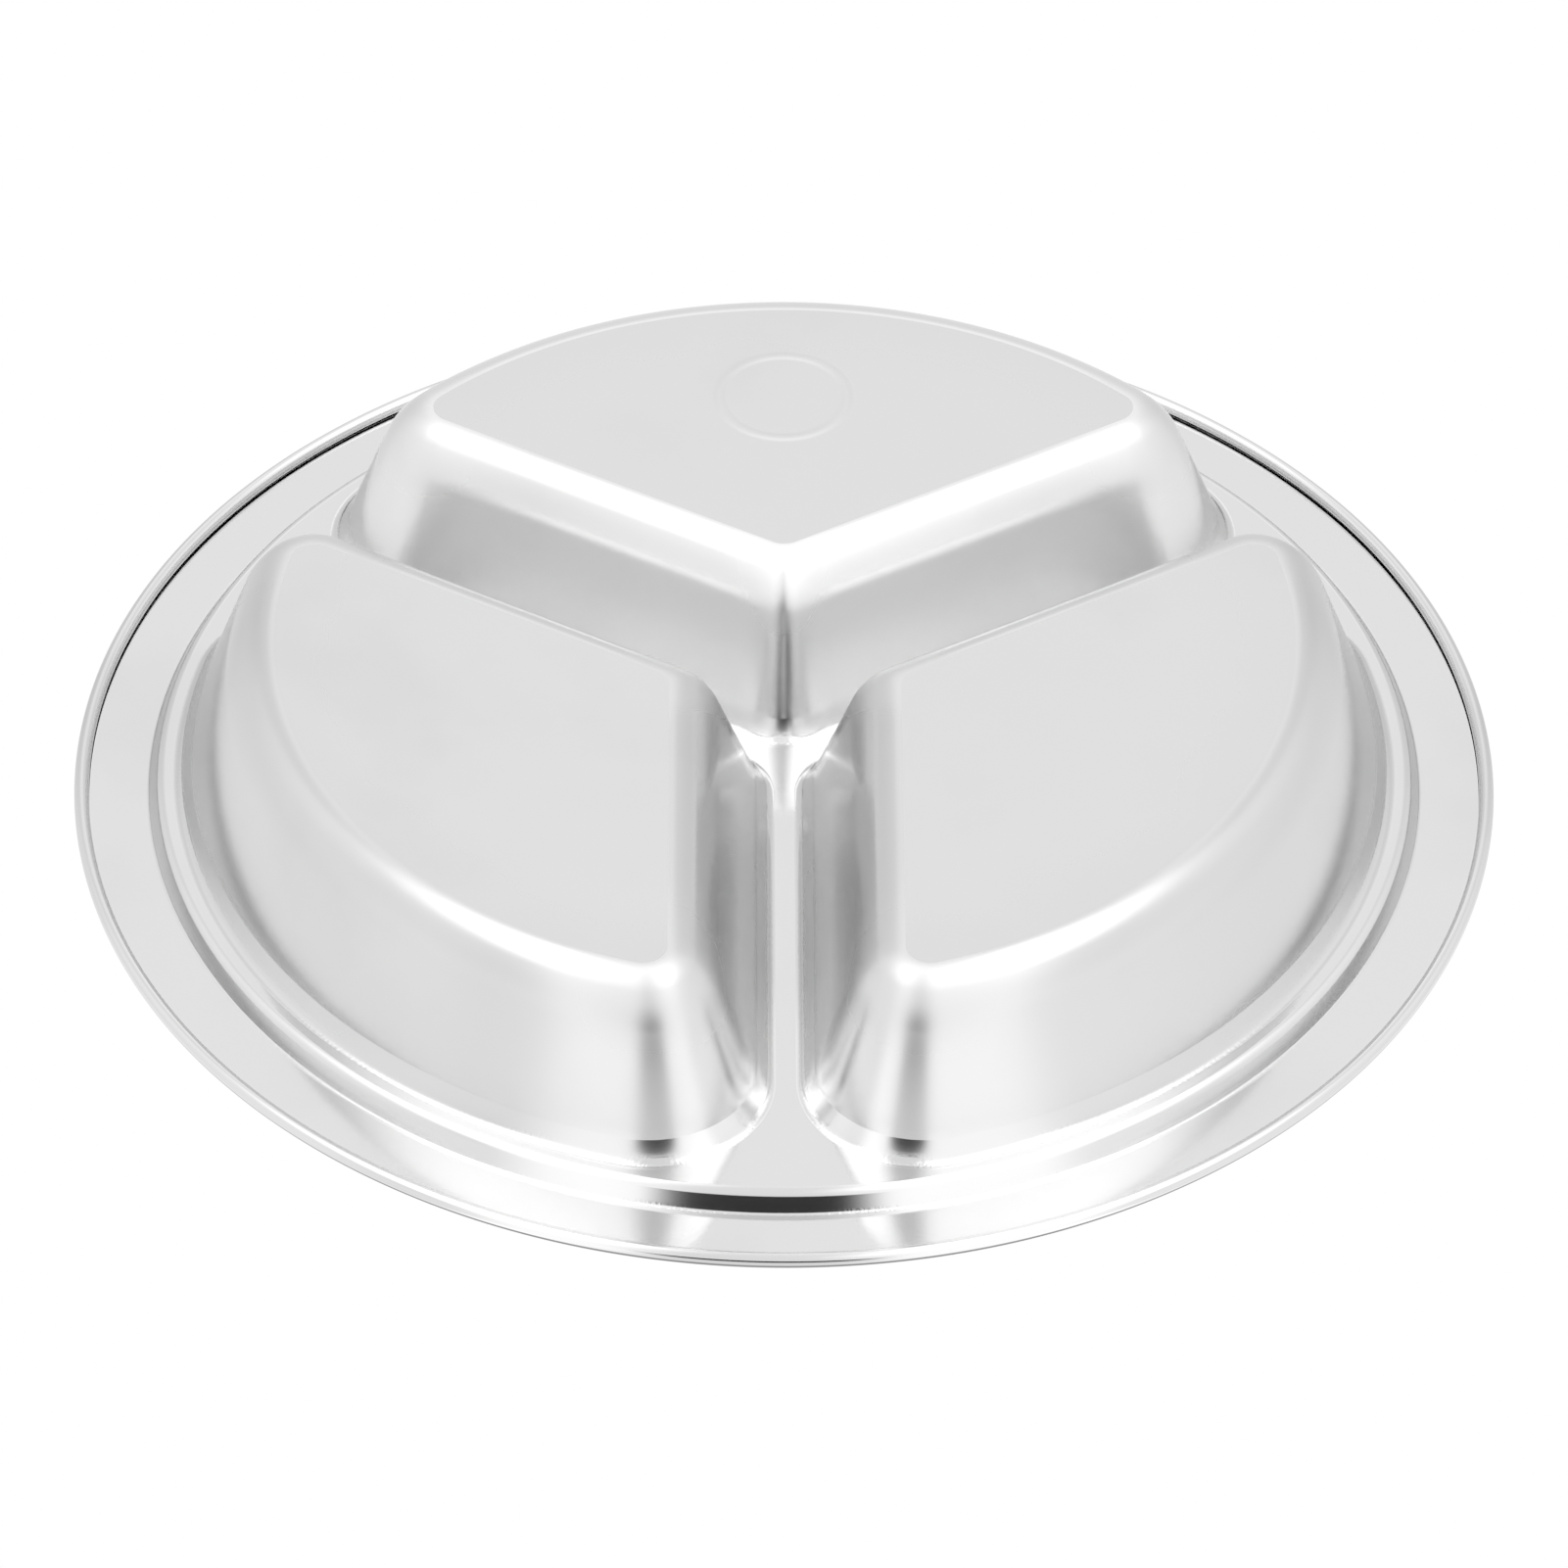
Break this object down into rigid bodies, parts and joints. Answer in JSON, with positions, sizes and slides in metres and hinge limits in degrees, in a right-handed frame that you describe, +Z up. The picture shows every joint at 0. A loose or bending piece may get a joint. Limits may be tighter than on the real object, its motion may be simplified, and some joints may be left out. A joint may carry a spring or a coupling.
{
  "type": "divided plate",
  "caption": "Round divided plate pressed from polished stainless steel sheet, with equal deep wells, a narrow divider web, a stepped flat flange and a curled rim.",
  "frame": {"origin": "centre of the plate on the plane that the undersides of its well floors rest on", "axes": "+Z up, out of the open wells; +Y through the middle of the back well, with the divider between the front wells along -Y; +X to the right when seen from -Y"},
  "size_m": [0.24, 0.24, 0.0327],
  "materials": {
    "polished_steel": "bright polished pressed stainless steel, faint drawing marks on the walls",
    "satin_steel": "polished stainless steel with a soft satin haze on the flat floors"
  },
  "bodies": {
    "root": {"rim_hem": "polished_steel", "rim_flange": "polished_steel", "rim_step": "polished_steel", "divider_web": "polished_steel", "back_well_wall": "polished_steel", "front_left_well_wall": "polished_steel", "front_right_well_wall": "polished_steel", "back_well_floor": "satin_steel", "front_left_well_floor": "satin_steel", "front_right_well_floor": "satin_steel"}
  },
  "joints": []
}
